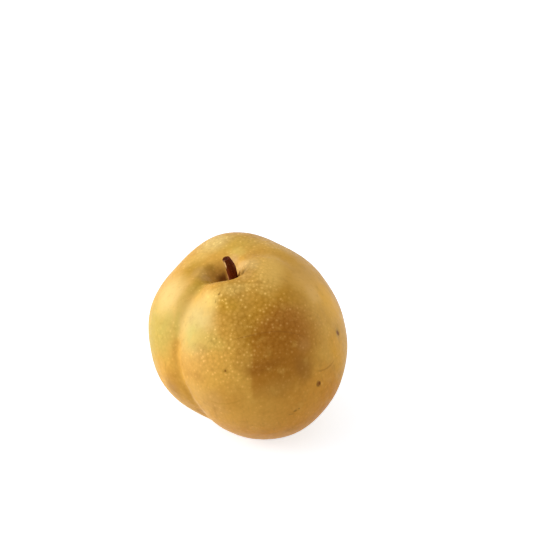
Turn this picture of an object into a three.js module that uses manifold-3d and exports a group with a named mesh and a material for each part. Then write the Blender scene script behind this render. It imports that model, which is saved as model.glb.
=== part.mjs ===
// Asian pear: one whole fruit with its short woody stem, resting on a small flat spot.
// Millimetres, +Z up, front toward -Y. The origin lies in the flat spot, right below the middle of the fruit.
import * as THREE from 'three';
import { mergeVertices } from 'three/addons/utils/BufferGeometryUtils.js';
import Module from 'manifold-3d';

const wasm = await Module();
wasm.setup();

// Driving dimensions
const roundRadius = 43; // the plain round that the swells rise from
const restHeight = 42.2; // from the flat spot up to the middle of the round
const stemAxis = new THREE.Vector3(-0.19, -0.21, 0.96).normalize(); // the fruit leans to the front and left
const stemFoot = 28.5; // from the middle of the round up to the foot of the stem
const stemLength = 19.5;
const clearance = 0.3; // between the stem and its socket
const sutureRound = -55; // degrees round, about where the suture runs

// A place on the fruit is in degrees down from the stem, and in degrees round from the front to the right.
// A swell fades to nothing over its reach, in degrees. Its rise is in millimetres, less than 0 for a hollow.
const swells = [
  { down: 103, round: 18, reach: 77, rise: 5.5 }, // the belly, lowest and fullest at the front
  { down: 52, round: -171, reach: 38, rise: 3.9 }, // the shoulder behind the stem
  { down: 57, round: -102, reach: 45, rise: 1.7 }, // the left lobe
  { down: 74, round: 115, reach: 53, rise: -1.3 }, // the flatter right shoulder
  { down: 121, round: -33, reach: 47, rise: -3 }, // the flatter foot of the left lobe
  { down: 12, round: -150, reach: 34, rise: -3.5 }, // the bowl round the stem, open to the back
  { down: 5, round: -119, reach: 15.6, rise: -12 }, // the pit that the stem stands in
  { down: 15, round: -32, reach: 20, rise: 4.5 }, // the lip in front of the pit
  { down: 169, round: 138, reach: 18, rise: -5.5 }, // the basin with the flower's scar
];

// A groove runs along a path of places. Its depth, in millimetres, the widths of its two sides, in degrees,
// and its roundness go from those at its top to those at its foot. A soft valley has roundness 2, a crease 1.
const grooves = [
  {
    // the suture between the left lobe and the belly, a soft valley above and a crease below
    path: [
      [6, -90], [16, -73], [22, -65], [30, -61], [37, -58], [44, -55.3],
      [61, -50], [74, -43.5], [85, -37.5], [98, -34.6], [150, -44],
    ],
    depth: [2.8, 2.6],
    fadeIn: [6, 18],
    fadeOut: [92, 150],
    leftWidth: [6, 14],
    rightWidth: [20, 6.5],
    roundness: [2, 1.3],
  },
  {
    // the faint fold between the back shoulder and the right one
    path: [[14, 150], [22, 138], [32, 117], [43, 95], [56, 84]],
    depth: [0.9, 0.7],
    fadeIn: [12, 24],
    fadeOut: [38, 60],
    leftWidth: [6, 7],
    rightWidth: [5, 5],
    roundness: [2, 2],
  },
];

// The stem's middle line, from its foot, and its radius along it
const stemBend = [[0.4, 0, 0], [0.6, 0, 7.5], [0.8, 0, 12.5], [0.7, 0.1, 16.5], [0, 0.2, stemLength]];
const stemOutline = [
  [0, 2.15], [4, 2.25], [8, 2.3], [12, 2.35], [14.5, 2.2],
  [16.5, 1.95], [18.2, 1.7], [19.1, 1.55], [stemLength, 1.15],
];

const upward = new THREE.Vector3(0, 0, 1);
const toRadians = THREE.MathUtils.degToRad;
const { lerp, smoothstep } = THREE.MathUtils;

// The direction of a place, on a fruit whose stem points straight up
function toward(down, round) {
  const radial = Math.sin(toRadians(down));
  return new THREE.Vector3(
    radial * Math.sin(toRadians(round)),
    -radial * Math.cos(toRadians(round)),
    Math.cos(toRadians(down)),
  );
}

// 1 in the middle of a swell, 0 at its reach and past it
function fade(share) {
  return 1 - smoothstep(share, 0, 1);
}

function swellRise(swell, direction) {
  const away = THREE.MathUtils.radToDeg(direction.angleTo(toward(swell.down, swell.round)));
  return swell.rise * fade(away / swell.reach);
}

// How far round the groove is at each distance down
function makeGrooveLine(groove) {
  const downs = groove.path.map(([down]) => down);
  const rounds = groove.path.map(([, round]) => round);
  return new THREE.CubicInterpolant(downs, rounds, 1);
}

function grooveDepth(groove, line, down, round) {
  const turn = round - line.evaluate(down)[0];
  const aside = (THREE.MathUtils.euclideanModulo(turn + 180, 360) - 180) * Math.sin(toRadians(down));
  const share = smoothstep(down, groove.path[1][0], groove.path.at(-2)[0]);
  const width = lerp(...(aside < 0 ? groove.leftWidth : groove.rightWidth), share);
  const across = Math.exp(-(Math.abs(aside / width) ** lerp(...groove.roundness, share)));
  const along = smoothstep(down, ...groove.fadeIn) * (1 - smoothstep(down, ...groove.fadeOut));
  return lerp(...groove.depth, share) * across * along;
}

const grooveLines = grooves.map(makeGrooveLine);

// From the middle of the round out to the skin
function skinRadius(direction) {
  const down = THREE.MathUtils.radToDeg(direction.angleTo(upward));
  const round = THREE.MathUtils.radToDeg(Math.atan2(direction.x, -direction.y));
  const swelling = swells.reduce((sum, swell) => sum + swellRise(swell, direction), 0);
  const grooving = grooves.reduce(
    (sum, groove, i) => sum + grooveDepth(groove, grooveLines[i], down, round),
    0,
  );
  return roundRadius + swelling - grooving;
}

function solidOf(geometry) {
  const plain = geometry.clone();
  plain.deleteAttribute('normal');
  plain.deleteAttribute('uv');
  const merged = mergeVertices(plain, 1e-4);
  return new wasm.Manifold(new wasm.Mesh({
    numProp: 3,
    vertProperties: new Float32Array(merged.attributes.position.array),
    triVerts: new Uint32Array(merged.index.array),
  }));
}

function geometryOf(solid) {
  const mesh = solid.getMesh();
  const geometry = new THREE.BufferGeometry();
  geometry.setAttribute('position', new THREE.BufferAttribute(mesh.vertProperties, 3));
  geometry.setIndex(new THREE.BufferAttribute(mesh.triVerts, 1));
  geometry.computeVertexNormals();
  return geometry;
}

// Turned and lifted from the upright fruit's own frame, with its middle at 0, to where the fruit rests
function place(geometry) {
  geometry.applyQuaternion(new THREE.Quaternion().setFromUnitVectors(upward, stemAxis));
  return geometry.translate(0, 0, restHeight);
}

// How far a point turns round the stem, in radians, so that points lie closer along the suture
function crowding(point) {
  const most = 0.5;
  return -most * Math.sin(Math.atan2(point.x, -point.y) - toRadians(sutureRound));
}

// A turned ball with closer rows in the stem cavity, then every point moved out or in to the skin
function wholeFruit() {
  const segments = 96;
  const cavityEnd = 24;
  const skinStep = 3.9;
  const cavityStep = 2;
  const downs = [];
  for (let down = 180; down > cavityEnd; down -= skinStep) downs.push(down);
  for (let down = cavityEnd; down >= 0; down -= cavityStep) downs.push(down);
  const outline = downs.map((down) => {
    const radial = down === 0 || down === 180 ? 0 : Math.sin(toRadians(down));
    return new THREE.Vector2(radial, Math.cos(toRadians(down)));
  });
  const geometry = new THREE.LatheGeometry(outline, segments).rotateX(Math.PI / 2);
  const position = geometry.attributes.position;
  const point = new THREE.Vector3();
  for (let i = 0; i < position.count; i += 1) {
    point.fromBufferAttribute(position, i).normalize();
    point.applyAxisAngle(upward, crowding(point));
    point.multiplyScalar(skinRadius(point));
    position.setXYZ(i, point.x, point.y, point.z);
  }
  return place(geometry);
}

// A turned rod whose rows are carried along the bent middle line
function stemRod(extra) {
  const sides = 16;
  const outline = stemOutline.map(([along, radius]) => new THREE.Vector2(radius + extra, along));
  outline[0].y -= extra;
  outline.at(-1).y += extra;
  const rod = [new THREE.Vector2(0, outline[0].y), ...outline, new THREE.Vector2(0, outline.at(-1).y)];
  const geometry = new THREE.LatheGeometry(rod, sides).rotateX(Math.PI / 2);
  const line = new THREE.CatmullRomCurve3(stemBend.map((point) => new THREE.Vector3(...point)));
  const position = geometry.attributes.position;
  const point = new THREE.Vector3();
  const turn = new THREE.Quaternion();
  for (let i = 0; i < position.count; i += 1) {
    const height = position.getZ(i);
    const share = THREE.MathUtils.clamp(height / stemLength, 0, 1);
    turn.setFromUnitVectors(upward, line.getTangentAt(share));
    point.set(position.getX(i), position.getY(i), height - share * stemLength);
    point.applyQuaternion(turn).add(line.getPointAt(share));
    position.setXYZ(i, point.x, point.y, point.z + stemFoot);
  }
  return place(geometry);
}

// The fruit with its flat spot cut and its socket for the stem
function makeFruit() {
  const depth = 40;
  const below = new THREE.BoxGeometry(200, 200, depth).translate(0, 0, -depth / 2);
  return geometryOf(solidOf(wholeFruit()).subtract(solidOf(below)).subtract(solidOf(stemRod(clearance))));
}

function makeStem() {
  return geometryOf(solidOf(stemRod(0)));
}

function piece(name, geometry, color, roughness) {
  const material = new THREE.MeshStandardMaterial({ color, roughness, metalness: 0 });
  const mesh = new THREE.Mesh(geometry, material);
  mesh.name = name;
  return mesh;
}

const pear = new THREE.Group();
pear.add(piece('fruit', makeFruit(), '#d2a050', 0.5));
pear.add(piece('stem', makeStem(), '#4e2a12', 0.75));

export default pear;
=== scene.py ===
# One ripe Asian pear with its stalk, standing on its own small flat spot on a pale table.
# Metres, +Z up, front toward -Y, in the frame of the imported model.
import bmesh
import bpy
import math
from mathutils import Matrix, Vector
from mathutils.kdtree import KDTree


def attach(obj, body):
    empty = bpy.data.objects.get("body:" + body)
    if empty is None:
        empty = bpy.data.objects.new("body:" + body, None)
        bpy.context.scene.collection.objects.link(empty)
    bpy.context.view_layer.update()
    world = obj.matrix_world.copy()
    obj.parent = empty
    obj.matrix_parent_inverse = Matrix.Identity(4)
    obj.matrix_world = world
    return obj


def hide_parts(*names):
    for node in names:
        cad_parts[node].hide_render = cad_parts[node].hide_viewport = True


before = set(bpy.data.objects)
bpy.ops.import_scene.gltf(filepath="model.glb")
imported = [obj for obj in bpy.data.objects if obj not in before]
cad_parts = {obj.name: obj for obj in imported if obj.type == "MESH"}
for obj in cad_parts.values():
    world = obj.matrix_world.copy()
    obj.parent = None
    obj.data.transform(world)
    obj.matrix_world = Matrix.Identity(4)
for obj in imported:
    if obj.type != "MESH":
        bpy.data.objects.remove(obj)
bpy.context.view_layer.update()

mm = .001

# Where the fruit stands. A place on it is in degrees down from the stalk,
# and in degrees round from the front to the right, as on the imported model.
pear = {
    "middle": Vector((0, 0, 42.2)) * mm,
    "stalkAxis": Vector((-.19, -.21, .96)).normalized(),
    "outside": 80,  # mm from its middle, well clear of the skin
}
lean = Vector((0, 0, 1)).rotation_difference(pear["stalkAxis"])


def upright(down, around):
    # the way to a place on a fruit whose stalk points straight up
    tilt, turn = math.radians(down), math.radians(around)
    out = math.sin(tilt)
    return Vector((out * math.sin(turn), -out * math.cos(turn), math.cos(tilt)))


def toward(down, around):
    return lean @ upright(down, around)


def onSkin(piece, down, around):
    # the point of the skin at a place
    bpy.context.view_layer.update()
    direction = toward(down, around)
    start = pear["middle"] + direction * pear["outside"] * mm
    return piece.ray_cast(start, -direction)[1]


def startAlone():
    # nothing selected, so that an operator acts on the new piece only
    if bpy.context.mode != "OBJECT":
        bpy.ops.object.mode_set(mode="OBJECT")
    bpy.ops.object.select_all(action="DESELECT")


def newPiece(name):
    piece = bpy.context.object
    piece.name = name
    piece.data.name = name
    bpy.ops.object.transform_apply(location=True, rotation=True, scale=True)
    return piece


def pickPoints(piece, wanted):
    # in edit mode, selects the points that are wanted and nothing else
    bpy.ops.mesh.select_mode(type="VERT")
    bpy.ops.mesh.select_all(action="DESELECT")
    mesh = bmesh.from_edit_mesh(piece.data)
    for point in mesh.verts:
        point.select = wanted(point.co)
    mesh.select_flush_mode()
    bmesh.update_edit_mesh(piece.data)


def subdivide(piece, times):
    fine = piece.modifiers.new("fine", "SUBSURF")
    fine.levels = fine.render_levels = times
    bpy.ops.object.modifier_apply(modifier=fine.name)


# ---- the fruit

fruitForm = {
    "around": 168,  # faces round the stalk
    "rows": 112,  # faces from the stalk to the scar
    "startRadius": 60,  # mm, of the ball that is drawn in
    "smoothing": (.5, 4),  # how far each time, and how often
    "socketEdge": 4.1,  # degrees, where the flesh opens round the stalk
    # the collar in that opening, mm from the middle of the fruit, and its steps: (mm up, times as wide)
    "collarHeight": 34,
    "collar": [(.12, .9), (-.15, .9), (-1.2, .97), (-3.3, 1)],
    "unevenness": .3,  # mm, how far the skin swells and dips between its lobes
    "unevenSize": 16,  # mm
    "evenBelow": 1.5,  # mm up, so that the flat spot stays flat
    "flat": .12,  # mm, what lies lower than this is pressed flat
    # folds along a row of places (down, around): how far the skin sinks in mm, and how wide in mm
    "folds": [
        # the upper suture, a soft valley
        ([(20, -68), (23, -65), (30, -61.5), (37, -58.5), (44, -56), (52, -53.5), (60, -51)], .3, 4),
        # the lower suture, a crease, and the ridge to the right of it
        ([(56, -53), (61, -51.5), (66.5, -49), (72, -46), (79.3, -42.5), (86.5, -39), (94.7, -37),
          (103, -36.5), (110, -37.5)], .6, 3),
        ([(60, -45.5), (66.5, -43.5), (72, -40), (79.3, -36.5), (86.5, -33), (94.7, -30.5)], -.3, 3.4),
        # between the two shoulders behind the stalk
        ([(24, 128), (31, 118), (38, 109)], .35, 4.5),
    ],
    # small marks in the skin: (down, around, how far it sinks in mm, how wide in mm)
    "marks": [
        (79.2, 70.9, .2, 2.6), (87.9, 39.9, .15, 2.6), (62.1, -9.2, .15, 2), (94.8, 23.1, .15, 2),
        (61, 168, .3, 2.6), (96, -132, .25, 2.4), (74, 128, .2, 2),
    ],
    "foldStep": 1,  # degrees from one sunk place to the next along a fold
    # the corky scar where the flower was, a pit with a raised ring round it, ringOut degrees from its middle
    "scar": {"place": (169, 138), "pit": (2.6, 4.6), "ringOut": 7, "ringStep": 20, "ring": (-.6, 1.7)},
}


def wrapFruit():
    # a ball with its poles at the stalk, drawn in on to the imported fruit
    startAlone()
    bpy.ops.mesh.primitive_uv_sphere_add(
        segments=fruitForm["around"], ring_count=fruitForm["rows"], radius=fruitForm["startRadius"] * mm,
        location=pear["middle"], rotation=lean.to_euler())
    skin = newPiece("pear_skin")
    wrap = skin.modifiers.new("wrap", "SHRINKWRAP")
    wrap.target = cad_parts["fruit"]
    wrap.wrap_method = "PROJECT"
    wrap.use_positive_direction = False
    wrap.use_negative_direction = True
    bpy.ops.object.modifier_apply(modifier=wrap.name)
    return skin


def openSocket(skin):
    # a hole in the skin for the stalk
    axis, middle = pear["stalkAxis"], pear["middle"]
    edge = math.radians(fruitForm["socketEdge"])
    bpy.ops.object.mode_set(mode="EDIT")
    pickPoints(skin, lambda place: (place - middle).angle(axis) < edge)
    bpy.ops.mesh.delete(type="VERT")
    bpy.ops.object.mode_set(mode="OBJECT")


def unevenSkin(skin):
    # soft swells and dips, everywhere but in the flat spot
    bpy.ops.object.mode_set(mode="EDIT")
    pickPoints(skin, lambda place: place.z > fruitForm["evenBelow"] * mm)
    bpy.ops.object.vertex_group_add()
    bpy.ops.object.vertex_group_assign()
    bpy.ops.object.mode_set(mode="OBJECT")
    clouds = bpy.data.textures.new("unevenSkin", "CLOUDS")
    clouds.noise_scale = fruitForm["unevenSize"] * mm
    clouds.noise_depth = 0
    uneven = skin.modifiers.new("uneven", "DISPLACE")
    uneven.texture = clouds
    uneven.texture_coords = "LOCAL"
    uneven.vertex_group = skin.vertex_groups[0].name
    uneven.strength = fruitForm["unevenness"] * 2 * mm
    bpy.ops.object.modifier_apply(modifier=uneven.name)


def smoothSkin(skin):
    factor, times = fruitForm["smoothing"]
    bpy.ops.object.mode_set(mode="EDIT")
    pickPoints(skin, lambda place: place.z > fruitForm["flat"] * mm)
    bpy.ops.mesh.vertices_smooth(factor=factor, repeat=times)
    bpy.ops.object.mode_set(mode="OBJECT")


def rollCollar():
    # the flesh of the piece at hand rolls in round the stalk and down beside it, to the depth of the socket
    axis, middle = pear["stalkAxis"], pear["middle"]
    bpy.ops.object.mode_set(mode="EDIT")
    bpy.ops.mesh.select_mode(type="VERT")
    bpy.ops.mesh.select_all(action="DESELECT")
    bpy.ops.mesh.select_non_manifold()
    centre = middle + axis * fruitForm["collarHeight"] * mm
    for step, width in fruitForm["collar"]:
        bpy.ops.mesh.extrude_region_move(TRANSFORM_OT_translate={"value": axis * step * mm})
        bpy.ops.transform.resize(value=(width, width, width), center_override=centre)
        centre = centre + axis * step * mm
    bpy.ops.mesh.extrude_region_move(TRANSFORM_OT_translate={"value": (0, 0, 0)})
    bpy.ops.mesh.merge(type="CENTER")
    bpy.ops.mesh.select_all(action="SELECT")
    bpy.ops.mesh.normals_make_consistent(inside=False)
    bpy.ops.object.mode_set(mode="OBJECT")


def sink(skin, places, depth, reach):
    # the points nearest the places sink by the depth, and the skin round them follows as far as the reach
    spots = [onSkin(skin, down, around) for down, around in places]
    tree = KDTree(len(skin.data.vertices))
    for point in skin.data.vertices:
        tree.insert(point.co, point.index)
    tree.balance()
    nearest = {tuple(tree.find(spot)[0]) for spot in spots}
    bpy.ops.object.mode_set(mode="EDIT")
    pickPoints(skin, lambda place: tuple(place) in nearest)
    bpy.ops.transform.shrink_fatten(
        value=-depth * mm, use_proportional_edit=True,
        proportional_edit_falloff="SMOOTH", proportional_size=reach * mm)
    bpy.ops.object.mode_set(mode="OBJECT")


def between(places, gap):
    # places a few degrees apart along a row of places
    filled = []
    for first, second in zip(places, places[1:]):
        steps = max(1, math.ceil(math.dist(first, second) / gap))
        filled += [tuple(a + (b - a) * i / steps for a, b in zip(first, second)) for i in range(steps)]
    return filled + [places[-1]]


def roundPlace(down, around, out, step):
    # places on a ring round a place, out degrees from it and step degrees round it apart
    middle = upright(down, around)
    first = upright(down - out, around)
    ring = [Matrix.Rotation(math.radians(turn), 3, middle) @ first for turn in range(0, 360, step)]
    return [(math.degrees(math.acos(way.z)), math.degrees(math.atan2(way.x, -way.y))) for way in ring]


def pressFlat(skin):
    bpy.ops.object.mode_set(mode="EDIT")
    pickPoints(skin, lambda place: place.z < fruitForm["flat"] * mm)
    bpy.ops.transform.resize(value=(1, 1, 0), center_override=(0, 0, 0))
    bpy.ops.object.mode_set(mode="OBJECT")


def makeSkin():
    skin = wrapFruit()
    openSocket(skin)
    unevenSkin(skin)
    smoothSkin(skin)
    rollCollar()
    pressFlat(skin)
    subdivide(skin, 1)
    print("fruit is wrapped")
    for places, depth, reach in fruitForm["folds"]:
        sink(skin, between(places, fruitForm["foldStep"]), depth, reach)
    for down, around, depth, reach in fruitForm["marks"]:
        sink(skin, [(down, around)], depth, reach)
    scar = fruitForm["scar"]
    sink(skin, [scar["place"]], *scar["pit"])
    sink(skin, roundPlace(*scar["place"], scar["ringOut"], scar["ringStep"]), *scar["ring"])
    bpy.ops.object.shade_smooth()
    return skin


# ---- the stalk

stalkForm = {
    "sides": 24,
    "ridges": (0, 3, 5, 9, 12, 14, 17, 21),  # sides that stand proud as lengthwise ridges
    "ridgeHeight": 1.07,
    # along the stalk from the middle of the fruit: (right, back, up, radius), in mm before the fruit leans
    "sections": [
        (.4, 0, 28.55, 1.9), (.45, 0, 30.6, 1.98), (.52, 0, 33, 2.03), (.6, 0, 35.5, 2.1), (.7, 0, 38, 2.16),
        (.8, 0, 40, 2.2), (.82, .05, 41.8, 2.16), (.75, .1, 43.3, 2.05), (.6, .1, 44.8, 1.9),
        (.35, .15, 46.1, 1.76), (.1, .2, 47.2, 1.68), (-.1, .2, 48.1, 1.68),
    ],
    "twist": 3,  # degrees from one section to the next
    "endRim": .35,  # mm, round the cut end
    "endHollow": (.5, .25),  # mm in from the rim, and mm deep
}


def makeStalk():
    startAlone()
    places = [pear["middle"] + lean @ Vector(section[:3]) * mm for section in stalkForm["sections"]]
    radii = [section[3] for section in stalkForm["sections"]]
    bpy.ops.mesh.primitive_circle_add(
        vertices=stalkForm["sides"], radius=radii[0] * mm, fill_type="NGON",
        location=places[0], rotation=lean.to_euler())
    stalk = newPiece("pear_stalk")
    bpy.ops.object.mode_set(mode="EDIT")
    ridges = [stalk.data.vertices[i].co.copy() for i in stalkForm["ridges"]]
    pickPoints(stalk, lambda place: place in ridges)
    bpy.ops.transform.resize(value=[stalkForm["ridgeHeight"]] * 3, center_override=places[0])
    bpy.ops.mesh.select_all(action="SELECT")
    for before, place, wide, width in zip(places, places[1:], radii, radii[1:]):
        bpy.ops.mesh.extrude_region_move(TRANSFORM_OT_translate={"value": place - before})
        bpy.ops.transform.resize(value=[width / wide] * 3, center_override=place)
        bpy.ops.transform.rotate(
            value=math.radians(stalkForm["twist"]), orient_axis="Z", orient_type="GLOBAL",
            orient_matrix=lean.to_matrix(), orient_matrix_type="GLOBAL", center_override=place)
    inward, deep = stalkForm["endHollow"]
    bpy.ops.mesh.inset(thickness=stalkForm["endRim"] * mm)
    bpy.ops.mesh.inset(thickness=inward * mm, depth=-deep * mm)
    bpy.ops.mesh.select_all(action="SELECT")
    bpy.ops.mesh.normals_make_consistent(inside=False)
    bpy.ops.object.mode_set(mode="OBJECT")
    subdivide(stalk, 2)
    bpy.ops.object.shade_smooth()
    return stalk


# ---- finishes

def linear(code):
    # an sRGB hex colour as the linear one that a shader takes
    parts = [int(code[i:i + 2], 16) / 255 for i in (1, 3, 5)]
    return [c / 12.92 if c <= .04045 else ((c + .055) / 1.055) ** 2.4 for c in parts] + [1]


def addNode(tree, kind, settings, sockets):
    node = tree.nodes.new("ShaderNode" + kind)
    for name, value in settings.items():
        setattr(node, name, value)
    for name, value in sockets.items():
        if isinstance(value, bpy.types.NodeSocket):
            tree.links.new(value, node.inputs[name])
        else:
            node.inputs[name].default_value = value
    return node


def newFinish(name):
    finish = bpy.data.materials.new(name)
    finish.use_nodes = True
    tree = finish.node_tree
    return finish, tree, tree.nodes["Principled BSDF"]


def calculate(tree, operation, first, second=0):
    return addNode(tree, "Math", {"operation": operation}, {0: first, 1: second}).outputs[0]


def ease(tree, value, start, end, low=0, high=1):
    # low up to the start, high from the end, and a soft slope between them
    eased = {"Value": value, "From Min": start, "From Max": end, "To Min": low, "To Max": high}
    return addNode(tree, "MapRange", {"interpolation_type": "SMOOTHSTEP", "clamp": False}, eased).outputs[0]


def paint(tree, below, colour, amount):
    # a colour, or the hex code of one, laid over what is below it
    over = linear(colour) if isinstance(colour, str) else colour
    mixed = addNode(tree, "Mix", {"data_type": "RGBA", "clamp_factor": True}, {0: amount, 6: below, 7: over})
    return mixed.outputs[2]


def uprightMillimetres(tree):
    # mm from the middle of the fruit, turned so that the stalk points straight up
    back = lean.inverted()
    perMetre = 1000
    place = addNode(tree, "TexCoord", {}, {}).outputs["Object"]
    return addNode(tree, "Mapping", {}, {
        "Vector": place, "Location": (back @ pear["middle"]) * -perMetre,
        "Rotation": back.to_euler(), "Scale": (perMetre, perMetre, perMetre)}).outputs[0]


ballRadius = 44  # mm, of the ball that places are drawn on to, so that a patch has its size in mm


def ontoBall(tree, place):
    way = addNode(tree, "VectorMath", {"operation": "NORMALIZE"}, {0: place}).outputs[0]
    return addNode(tree, "VectorMath", {"operation": "SCALE"}, {0: way, "Scale": ballRadius}).outputs[0]


def noise(tree, place, size, detail=2, output=0):
    # clouds of a size in mm
    fineness = .55
    return addNode(tree, "TexNoise", {}, {
        "Vector": place, "Scale": 1 / size, "Detail": detail, "Roughness": fineness}).outputs[output]


def cloudy(tree, below, place, code, size, detail, start, full, strong):
    # a colour laid over in clouds, from where the noise is at the start to where it is full
    return paint(tree, below, code, ease(tree, noise(tree, place, size, detail), start, full, 0, strong))


def drawnOut(tree, place, length):
    # places along which a pattern is stretched, lengthwise to the fruit
    return addNode(tree, "Mapping", {}, {"Vector": place, "Scale": (1, 1, length)}).outputs[0]


def ragged(tree, place, size, reach):
    # the places moved about by up to about half the reach, both in mm, so that edges wander
    cloud, mean = noise(tree, place, size, output=1), (.5, .5, .5)
    centred = addNode(tree, "VectorMath", {"operation": "SUBTRACT"}, {0: cloud, 1: mean}).outputs[0]
    return addNode(tree, "VectorMath", {"operation": "MULTIPLY_ADD"}, {
        0: centred, 1: (reach, reach, reach), 2: place}).outputs[0]


def within(tree, place, middle, halves, turned=(0, 0, 0)):
    # 1 in the middle of an ellipsoid, evenly down to 0 at its surface, with its three half widths in mm
    offset = addNode(tree, "Mapping", {"vector_type": "TEXTURE"}, {
        "Vector": place, "Location": middle, "Rotation": turned, "Scale": halves}).outputs[0]
    return addNode(tree, "TexGradient", {"gradient_type": "SPHERICAL"}, {"Vector": offset}).outputs["Fac"]


def nearness(tree, place, down, around, wide, high, turn, reach=1):
    # 1 at a place on the ball, evenly down to 0 along an oval round it, wide and high in mm,
    # turned in degrees, or along one that is reach times as large
    through = 30  # mm in and out, so that the oval follows the ball
    out = upright(down, around)
    right = Vector((0, 0, 1)).cross(out).normalized()
    facing = Matrix((right, out.cross(right), out)).transposed()
    facing = facing @ Matrix.Rotation(math.radians(turn), 3, "Z")
    halves = Vector((wide / 2, high / 2, through)) * reach
    return within(tree, place, out * ballRadius, halves, facing.to_euler())


def patch(tree, place, down, around, wide, high, turn=0, core=0):
    # 1 in the core of an oval, 0 from its edge on
    return ease(tree, nearness(tree, place, down, around, wide, high, turn), 0, 1 - core)


def layPatches(tree, colour, place, patches):
    for code, down, around, wide, high, turn, strong, core in patches:
        mask = calculate(tree, "MULTIPLY", patch(tree, place, down, around, wide, high, turn, core), strong)
        colour = paint(tree, colour, code, mask)
    return colour


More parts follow.
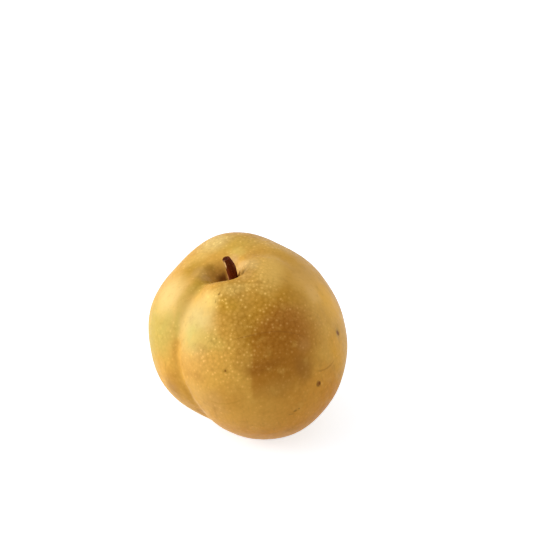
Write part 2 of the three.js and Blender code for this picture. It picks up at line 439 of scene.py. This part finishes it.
skinLook = {
    "ground": "#dba647",
    # clouds over the ground, blotches over the areas, and streaks from the stalk to the foot:
    # (colour, mm, detail, the noise where they start, the noise where they are full, how strong)
    "clouds": ("#c8902a", 22, 2, .45, .75, .4),
    "blotches": [("#eebe5c", 5, 3, .5, .8, .3), ("#985c12", 6.5, 3, .52, .8, .25)],
    "streaks": ("#a06a18", 1.3, 3, .52, .8, .22),
    "streakLength": .16,
    # how edges wander: (mm from one bend to the next, mm about)
    "areaEdges": (12, 6),
    "markEdges": (1.1, .9),
    # large soft areas, from the widest to the smallest:
    # (colour, down, around, mm wide, mm high, turn, how strong, how much of it is its even core)
    "areas": [
        ("#e2a64a", 115, 5, 120, 84, 0, .8, .2),  # warmer toward the foot
        ("#d89636", 94, 32, 44, 44, 0, .8, .2),
        ("#c3ac50", 62, -80, 30, 62, 0, .8, .2),  # the left lobe, duller toward its edge
        # a painted highlight on the left lobe, where the big lamp lights it
        ("#ecc87c", 38, -87, 26, 28, 0, .8, .2),
        ("#be9424", 19, -92, 14, 10, 0, .7, .2),  # olive in the upper suture, darkened as painted shade in the valley, which faces away from the big lamp
        ("#ba9a42", 22, -72, 12, 13, 0, .65, .2),
        ("#cca648", 34, -66, 7, 26, 24, .5, .2),
        ("#bbb35b", 56, -65, 15, 34, 12, .4, .2),
        ("#b8a030", 46, -60.2, 4.5, 20, 19, .5, .2),  # a narrow olive line down the suture, partly painted shade in its crease
        ("#dec276", 40, -41, 32, 38, 0, .9, .2),  # yellow-green to the right of it, and paler there as a painted highlight of the big lamp
        ("#c6b854", 47, -39, 18, 20, 0, .5, .2),
        ("#d2ae50", 46, -22, 24, 14, 0, .8, .2),
        ("#dca960", 61, -34, 28, 32, 0, .3, .2),
        # a painted highlight on the upper left of the belly, facing the big lamp
        ("#f4ce70", 24, -27, 14, 12, 0, .8, .2),
        ("#cc983a", 36, 1, 28, 28, 0, .8, .2),
        ("#b4802a", 35, 14, 16, 14, 0, .4, .2),  # ochre below the stalk
        ("#d0962c", 35, 42, 36, 22, 0, .8, .2),
        ("#dca838", 26, -3, 15, 11, 0, .6, .2),
        # paler along the near rim of the pit, partly a painted highlight on its crest
        ("#f2c464", 17, 8, 26, 9, 0, .85, .2),
        ("#cc9e67", 82, -20, 22, 20, 0, .3, .2),
        ("#e8b866", 98, -32, 20, 16, 0, .3, .2),  # paler beside the lower suture, a painted highlight on the ridge that overhangs the crease
        ("#dcac5a", 80, -31, 20, 24, 0, .5, .2),
        # browner on the slope of the left lobe down into the lower crease, painted shade where it faces away
        # from the big lamp
        ("#b47c24", 84, -52, 16, 26, 0, .6, .2),
        ("#b88430", 87, -40, 16, 24, 0, .4, .2),
        ("#ac7c3c", 90, -53, 18, 18, 0, .4, .2),  # browner at the foot of the left lobe, painted shade as well
        ("#bc8630", 57, 4, 12, 24, 0, .5, .2),  # beside the edge of the cheek
        ("#c48a34", 77, -8, 18, 20, 0, .5, .2),
        ("#ca8a2e", 74, 22, 40, 30, 0, .4, .2),  # the upper part of the brown cheek
        ("#b27c20", 45.5, 15, 22, 18, 0, .7, .2),
        ("#ba7c22", 57, 53, 22, 30, -20, .6, .2),
        ("#b67426", 51, 38, 31, 36, -10, .85, .3),
        ("#ae6e24", 57, 31, 26, 32, -25, .6, .2),
        ("#f0b648", 62, 86, 22, 46, 0, .9, .2),  # the right rim and just above it, paler as painted light from the lamp to the right and behind
        ("#f0c070", 52, 80, 14, 12, 0, .5, .2),
        ("#deb06c", 48, 92, 26, 22, 0, .35, .1),  # tan on the right shoulder, a painted sheen of the lamp to the right
        ("#e4a634", 85, 63, 18, 26, 0, .7, .2),
        ("#d08a18", 106, 48, 28, 40, 0, .85, .2),
        ("#c47a10", 116, 38, 34, 24, 0, .5, .2),
        ("#da9222", 110, 14, 60, 22, 0, .6, .2),
        ("#f2c262", 23, 84, 32, 20, 0, .85, .2),  # the shoulder to the right of the stalk
        ("#c68c24", 40, 66, 14, 20, 0, .5, .2),
        ("#e8b652", 38, 138, 26, 20, 0, .7, .2),  # behind the stalk
        ("#d8b04a", 28, 175, 30, 20, 0, .7, .2),
        ("#ebc965", 20, 166, 11, 8, 0, .6, .2),
        ("#eecc7c", 34, -162, 22, 20, 0, .8, .2),
        ("#e7bf63", 31, -136, 20, 14, 0, .45, .2),
        # olive on the wall above the pit's left, partly painted shade where it faces away from the big lamp
        ("#bc8e22", 27, -114, 22, 14, 0, .7, .2),
        ("#d2a65c", 21, -106, 14, 11, 0, .55, .2),
        ("#ecc476", 13, 106, 15, 12, 0, .65, .2),  # the pale wall of the pit to the right of the stalk, a painted highlight where the big lamp lights it
        # more of that pale wall round the stalk, painted highlight as well
        ("#e8be78", 10.5, 138, 11, 8, 0, .7, .2),
        ("#e8b868", 12, 58, 10, 8, 0, .4, .2),
        ("#dcb274", 15, 178, 10, 7, 0, .6, .2),
        ("#e4b470", 17, -98, 6, 5, 0, .4, .2),
        # darker on the left of the pit and in the crevice by the stalk's foot: partly real russet, partly
        # painted shade on the wall that faces away from the big lamp
        ("#94680a", 18.5, -128, 8, 6, 0, .4, .2),
        ("#8c5420", 13, -136, 16, 7, 0, .35, .2),  # russet in the pit on its left, darkened further as painted shade
        ("#74380a", 12, -136, 11, 5, 0, .8, .2),
        ("#6e3408", 5, -105, 13, 12, 0, .85, .3),
        ("#c08632", 74, -162, 52, 46, 0, .45, .1),  # the back
        ("#e6bc62", 98, 152, 44, 30, 20, .4, .1),
        ("#c4983c", 58, 132, 22, 30, 0, .4, .1),
        ("#e4b456", 52, -140, 26, 20, 0, .4, .1),
        ("#c8902e", 92, -112, 40, 34, 0, .35, .1),
        ("#d8a040", 84, 112, 34, 40, 0, .4, .1),
        ("#a87430", 169, 138, 22, 22, 0, .8, .2),  # corky round the flower's scar
        ("#6e4a20", 169, 138, 9, 9, 0, .9, .4),
    ],
    # the lower part of the brown cheek, which ends in a clear line between two places on its left
    "cheek": {
        "colour": "#b3741f", "strong": .82, "oval": (62, 20.5, 50, 39, 10, .35),
        "edge": [(53, 10.3), (77, 4.3)], "softEdge": 1.6,  # mm
    },
    # soft areas over the cheek, as above
    "cheekAreas": [
        ("#985a12", 63, 14, 22, 8, 0, .45, .2),
        ("#d09a44", 77, 17, 20, 11, 0, .4, .2),
        ("#986020", 75, 36, 13, 18, 0, .5, .2),
        ("#c8904a", 63, 42, 10, 9, 0, .4, .2),
    ],
    # cork dots, in mm
    "dots": {
        "apart": 1.5, "smallest": .3, "largest": .74,
        "rim": (1, .2),  # from their edge to where they are full, as parts of their size
        "chance": (.35, .95),  # by lot from the faintest to the strongest
        "faintest": .12, "strong": .85,
        "sooner": .35,  # how much it helps a dot to be where the skin is dotted
        "paler": {"Hue": .51, "Saturation": .92, "Value": 1.5},
    },
    # the darker skin between the dots, and fine freckles in it: (mm, detail, start, full, how strong)
    "darkBetween": {
        "from": (.4, .8), "strong": .5, "freckles": (.9, 3, .52, .75, .45),
        "darker": {"Hue": .494, "Saturation": 1.04, "Value": .7},
    },
    # where there are most dots, below the stalk and on the back, and where hardly any, in the smooth
    # parts: (down, around, mm wide, mm high, turn), with how dotted it is there and elsewhere
    "dotted": [(29, 12, 56, 50, 0), (72, 172, 70, 60, 0)],
    "dottedReach": 1.5,  # times the oval, as far as the dots thin out
    "dottedCore": .67,
    "dottedElsewhere": .3,
    "smooth": [(36, -43, 27, 40, 0), (40, -84, 30, 34, 0), (50, 92, 40, 60, 0)],
    "smoothCore": .55,
    "smoothDots": .12,
    # old marks: (colour, down, around, mm wide, mm high, turn, how strong), with their even core
    "markCore": .35,
    "marks": [
        ("#a8842a", 79, 71, 6, 5.6, 0, .5),
        ("#7c4200", 79.4, 71.2, 2.8, 4.4, 20, .9),
        ("#8e5a16", 87.9, 39.9, 2.8, 3.8, 0, .9),
        ("#7c4000", 88.2, 40.9, 1.5, 2.6, 0, .9),
        ("#b0802a", 62.2, -9.2, 3.6, 3, 0, .7),
        ("#7c4a08", 62, -9.3, 1.3, 1.2, 0, .9),
        ("#8a5810", 94.8, 23.1, 2.2, 1.4, -15, .55),
        ("#84500c", 94.5, 25.4, 1, 1, 0, .5),
        ("#9a6a24", 95.6, 20.4, 2.8, 1, -20, .35),
        ("#8a5a0c", 19.6, -16.8, .9, 2.2, -30, .6),
        ("#966a18", 24, -20.7, .8, 2.4, 0, .45),
        ("#7a5014", 61, 168, 2.4, 1.8, 20, .9),
        ("#7a5014", 96, -132, 2, 1.5, 0, .9),
        ("#7a5014", 74, 128, 1.4, 1.4, 0, .9),
        ("#9a6420", 45, 9.8, 16, .8, -2, .5),  # a long faint rub across the cheek
    ],
    # thin curved scratches: (colour, middle of the curve: down, around, its radius in mm, line in mm,
    # the part of it that shows: down, around, mm, how strong)
    "scratches": [
        ("#b07426", 67.1, 55.5, 14.1, .6, 84, 49.3, 14, .6),
        ("#d4a04c", 67.1, 55.5, 15, .5, 85.5, 52, 10, .4),
        ("#8e5818", 82.3, 14.8, 27.4, .45, 51.5, 34.5, 26, .35),
        ("#bc8830", 57.6, -15.7, 18.2, .6, 82, -12, 20, .4),
        ("#a87020", 18.6, 14, 1.3, .5, 18.6, 11, 3.4, .45),
        ("#4e3210", 169, 138, 2.6, .8, 169, 138, 12, .8),
    ],
    "scratchCore": .5,  # of the part that shows
    "scratchReach": 1.5,  # radii out from the middle of the curve, as far as its line is looked for
    # a fine grain, and how much more the dots stand proud than it does
    "grain": {"size": .5, "detail": 3, "dots": .8, "strong": .35, "deep": .06},
    "roughness": {"size": 3, "detail": 3, "noise": (.3, .7), "values": (.4, .52)},
    "ior": 1.45,
    "specular": .12,  # waxy but matt, so it mirrors little
}


def skinFinish():
    # matt russet skin: ochre with a brown cheek, pale cork dots, darker between them, and a few old marks,
    # with some painted highlights and painted shade among its areas
    finish, tree, shader = newFinish("russetPearSkin")
    place = uprightMillimetres(tree)
    ball = ontoBall(tree, place)

    # broad colour, with soft clouds in it
    colour = cloudy(tree, linear(skinLook["ground"]), place, *skinLook["clouds"])
    wandering = ragged(tree, ball, *skinLook["areaEdges"])
    colour = layPatches(tree, colour, wandering, skinLook["areas"])
    cheek = skinLook["cheek"]
    top, foot = [upright(*end) for end in cheek["edge"]]
    across = top.cross(foot).normalized()
    beyond = addNode(tree, "VectorMath", {"operation": "DOT_PRODUCT"}, {0: wandering, 1: across})
    mask = calculate(
        tree, "MULTIPLY", patch(tree, wandering, *cheek["oval"]),
        ease(tree, beyond.outputs["Value"], -cheek["softEdge"], cheek["softEdge"], 0, cheek["strong"]))
    colour = paint(tree, colour, cheek["colour"], mask)
    colour = layPatches(tree, colour, wandering, skinLook["cheekAreas"])
    for blotch in skinLook["blotches"]:
        colour = cloudy(tree, colour, place, *blotch)
    colour = cloudy(tree, colour, drawnOut(tree, place, skinLook["streakLength"]), *skinLook["streaks"])

    # how dotted the skin is
    dotted = 0
    reach, core, elsewhere = skinLook["dottedReach"], skinLook["dottedCore"], skinLook["dottedElsewhere"]
    for oval in skinLook["dotted"]:
        zone = ease(tree, nearness(tree, wandering, *oval, reach), 0, core, elsewhere, 1)
        dotted = calculate(tree, "MAXIMUM", zone, dotted)
    for oval in skinLook["smooth"]:
        near = nearness(tree, wandering, *oval)
        rough = ease(tree, near, skinLook["smoothCore"], 0, skinLook["smoothDots"], 1)
        dotted = calculate(tree, "MULTIPLY", dotted, rough)

    # darker skin between the dots, and the dots, each with its own size and strength by lot
    look, gap = skinLook["dots"], skinLook["darkBetween"]
    cork = addNode(tree, "TexVoronoi", {}, {"Vector": place, "Scale": 1 / look["apart"]})
    chance = addNode(tree, "SeparateColor", {}, {0: cork.outputs["Color"]}).outputs
    gaps = ease(tree, cork.outputs["Distance"], *gap["from"], 0, gap["strong"])
    size, detail, start, full, strong = gap["freckles"]
    freckles = ease(tree, noise(tree, place, size, detail), start, full, 0, strong)
    dark = calculate(tree, "MULTIPLY", calculate(tree, "ADD", gaps, freckles), dotted)
    wide = ease(tree, chance[0], 0, 1, look["smallest"] / look["apart"], look["largest"] / look["apart"])
    share = calculate(tree, "DIVIDE", cork.outputs["Distance"], wide)
    dots = calculate(tree, "MULTIPLY", ease(tree, share, *look["rim"]), dotted)
    often = calculate(tree, "ADD", chance[1], calculate(tree, "MULTIPLY", dotted, look["sooner"]))
    strength = ease(tree, often, *look["chance"], look["faintest"], look["strong"])
    dots = calculate(tree, "MULTIPLY", dots, strength)
    darker = addNode(tree, "HueSaturation", {}, {**gap["darker"], "Color": colour})
    paler = addNode(tree, "HueSaturation", {}, {**look["paler"], "Color": colour})
    colour = paint(tree, colour, darker.outputs[0], dark)
    colour = paint(tree, colour, paler.outputs[0], dots)

    # old marks and scratches
    frayed = ragged(tree, ball, *skinLook["markEdges"])
    marks = [mark + (skinLook["markCore"],) for mark in skinLook["marks"]]
    colour = layPatches(tree, colour, frayed, marks)
    reach = skinLook["scratchReach"]
    for code, down, around, radius, line, seenDown, seenAround, seen, strong in skinLook["scratches"]:
        near = nearness(tree, frayed, down, around, radius * 2, radius * 2, 0, reach)
        off = calculate(tree, "ABSOLUTE", calculate(tree, "SUBTRACT", near, 1 - 1 / reach))
        shown = patch(tree, ball, seenDown, seenAround, seen, seen, 0, skinLook["scratchCore"])
        arc = calculate(tree, "MULTIPLY", ease(tree, off, line / radius / reach, 0), shown)
        colour = paint(tree, colour, code, calculate(tree, "MULTIPLY", arc, strong))

    # a fine grain, and the dots standing a little proud
    grain, matt = skinLook["grain"], skinLook["roughness"]
    relief = noise(tree, place, grain["size"], grain["detail"])
    height = addNode(tree, "Math", {"operation": "MULTIPLY_ADD"}, {0: dots, 1: grain["dots"], 2: relief})
    bump = addNode(tree, "Bump", {}, {
        "Height": height.outputs[0], "Strength": grain["strong"], "Distance": grain["deep"] * mm})
    tree.links.new(bump.outputs[0], shader.inputs["Normal"])
    tree.links.new(colour, shader.inputs["Base Color"])
    clouds = noise(tree, place, matt["size"], matt["detail"])
    tree.links.new(ease(tree, clouds, *matt["noise"], *matt["values"]), shader.inputs["Roughness"])
    shader.inputs["IOR"].default_value = skinLook["ior"]
    shader.inputs["Specular IOR Level"].default_value = skinLook["specular"]
    return finish


stalkLook = {
    "bark": "#5a2004",
    # dark streaks and worn ridges along it: (colour, mm, detail, start, full, how strong)
    "streaks": ("#340f02", .55, 3, .5, .7, .7),
    "worn": ("#86480f", .8, 2, .56, .75, .5),
    "streakLength": .14,
    # places in mm beside the fruit's upright axis:
    # (colour, right, back, up, mm wide, mm deep, mm high, how strong)
    "patches": [
        ("#d8ac70", -.95, -1, 45.8, 1.5, 1.8, 6, .95),  # a pale torn strip down the left side, partly a painted highlight where the big lamp catches that edge
        # its lower part, likewise partly torn bark and partly painted highlight
        ("#ac7650", -1.2, -.95, 37.8, 1.5, 2, 8, .9),
        ("#2c0e04", -.1, .2, 48.2, 2.8, 2.6, 1.4, .9),  # the dark middle of the end
    ],
    "patchEdges": (.8, .7),  # how they wander, as on the skin
    "patchCore": .6,
    "specks": {"colour": "#a8743c", "apart": 1.1, "rim": (.2, .1), "strong": .5},
    "relief": {"strong": .6, "deep": .12},  # mm
    "roughness": .7,
    "specular": .08,
}


def stalkFinish():
    # dry woody bark: dark red-brown and hardly shiny, lighter along its ridges, and in a torn strip down its
    # left side that is partly a painted highlight
    finish, tree, shader = newFinish("stalkBark")
    place = uprightMillimetres(tree)
    drawn = drawnOut(tree, place, stalkLook["streakLength"])
    dark, size, detail, start, full, strong = stalkLook["streaks"]
    streaks = noise(tree, drawn, size, detail)
    colour = paint(tree, linear(stalkLook["bark"]), dark, ease(tree, streaks, start, full, 0, strong))
    colour = cloudy(tree, colour, drawn, *stalkLook["worn"])
    frayed = ragged(tree, place, *stalkLook["patchEdges"])
    for code, right, back, up, wide, deep, high, strong in stalkLook["patches"]:
        near = within(tree, frayed, (right, back, up), (wide / 2, deep / 2, high / 2))
        colour = paint(tree, colour, code, ease(tree, near, 0, stalkLook["patchCore"], 0, strong))
    specks, relief = stalkLook["specks"], stalkLook["relief"]
    cork = addNode(tree, "TexVoronoi", {}, {"Vector": place, "Scale": 1 / specks["apart"]})
    shown = ease(tree, cork.outputs["Distance"], *specks["rim"], 0, specks["strong"])
    colour = paint(tree, colour, specks["colour"], shown)
    bump = addNode(tree, "Bump", {}, {
        "Height": streaks, "Strength": relief["strong"], "Distance": relief["deep"] * mm})
    tree.links.new(bump.outputs[0], shader.inputs["Normal"])
    tree.links.new(colour, shader.inputs["Base Color"])
    shader.inputs["Roughness"].default_value = stalkLook["roughness"]
    shader.inputs["Specular IOR Level"].default_value = stalkLook["specular"]
    return finish


# ---- the table, the light and the camera

studio = {
    "aim": pear["middle"],
    # name: (degrees round from the front to the right, degrees up, metres away, wide and high, watts)
    "boxes": {
        "bigBox": (-88, 20, 1.2, 1.3, 1.0, 15.5),
        "lowBox": (105, 15, 1.2, .9, .7, 3.3),
    },
    "ambient": .52,  # how brightly the room round the table lights the fruit
    "table": {"size": 8, "colour": "#dcdad6", "roughness": .8, "specular": .2},
    # what a ray from the camera, a mirror or glass sees of it
    "seenTable": {"colour": "#e4eefa", "glow": .58},
    # the camera: degrees above the table, metres away, mm to the right of the aim and above it, and its lens
    "camera": {
        "rise": 32, "away": 1, "right": 11.5, "above": 26.9, "lens": 149.7, "sensor": 36, "nearest": .05,
    },
}


def wayTo(around, up):
    turn, rise = math.radians(around), math.radians(up)
    return Vector((math.cos(rise) * math.sin(turn), -math.cos(rise) * math.cos(turn), math.sin(rise)))


def addSoftbox(name, around, up, away, wide, high, watts):
    way = wayTo(around, up)
    bpy.ops.object.light_add(type="AREA", location=studio["aim"] + way * away)
    lamp = bpy.context.object
    lamp.name = name
    lamp.data.shape = "RECTANGLE"
    lamp.data.size, lamp.data.size_y = wide, high
    lamp.data.energy = watts
    lamp.rotation_euler = (-way).to_track_quat("-Z", "Y").to_euler()


def paintWorld():
    # white where it is seen, and soft grey as a light
    world = bpy.data.worlds.new("studio")
    bpy.context.scene.world = world
    world.use_nodes = True
    tree = world.node_tree
    rays = addNode(tree, "LightPath", {}, {}).outputs
    seen = calculate(tree, "MAXIMUM", rays["Is Camera Ray"], rays["Is Transmission Ray"])
    seen = calculate(tree, "MAXIMUM", seen, rays["Is Glossy Ray"])
    strength = addNode(tree, "Mix", {}, {0: seen, 2: studio["ambient"], 3: 1.0}).outputs[0]
    back = tree.nodes["Background"]
    back.inputs["Color"].default_value = (1, 1, 1, 1)
    tree.links.new(strength, back.inputs["Strength"])


def layTable():
    # a pale table, white where it is seen, with the fruit's shadow on it
    plain, bright = studio["table"], studio["seenTable"]
    startAlone()
    bpy.ops.mesh.primitive_plane_add(size=plain["size"], location=(0, 0, 0))
    table = newPiece("table_top")
    finish, tree, shader = newFinish("whiteTable")
    rays = addNode(tree, "LightPath", {}, {}).outputs
    seen = calculate(tree, "ADD", rays["Is Camera Ray"], rays["Is Transmission Ray"])
    seen = calculate(tree, "ADD", seen, rays["Is Glossy Ray"])
    tree.links.new(paint(tree, linear(plain["colour"]), bright["colour"], seen), shader.inputs["Base Color"])
    shader.inputs["Roughness"].default_value = plain["roughness"]
    shader.inputs["Specular IOR Level"].default_value = plain["specular"]
    shader.inputs["Emission Color"].default_value = (1, 1, 1, 1)
    glow = calculate(tree, "MULTIPLY", seen, bright["glow"])
    tree.links.new(glow, shader.inputs["Emission Strength"])
    table.data.materials.append(finish)


def setCamera():
    # the fruit stands left of the middle of the view and below it
    look = studio["camera"]
    rise = math.radians(look["rise"])
    upInView = Vector((0, math.sin(rise), math.cos(rise)))
    aside = Vector((look["right"], 0, 0)) * mm + upInView * look["above"] * mm
    place = studio["aim"] + wayTo(0, look["rise"]) * look["away"] + aside
    bpy.ops.object.camera_add(location=place, rotation=(math.pi / 2 - rise, 0, 0))
    camera = bpy.context.object
    camera.data.lens, camera.data.sensor_width = look["lens"], look["sensor"]
    camera.data.clip_start = look["nearest"]
    bpy.context.scene.camera = camera


setCamera()
for name, box in studio["boxes"].items():
    addSoftbox(name, *box)
paintWorld()
layTable()
print("table, light and camera are set")

skin = makeSkin()
skin.data.materials.append(skinFinish())
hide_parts("fruit")
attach(skin, "root")
print("fruit is modelled")

stalk = makeStalk()
stalk.data.materials.append(stalkFinish())
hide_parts("stem")
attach(stalk, "root")
print("stalk is modelled")

bpy.context.scene.view_settings.view_transform = "Standard"
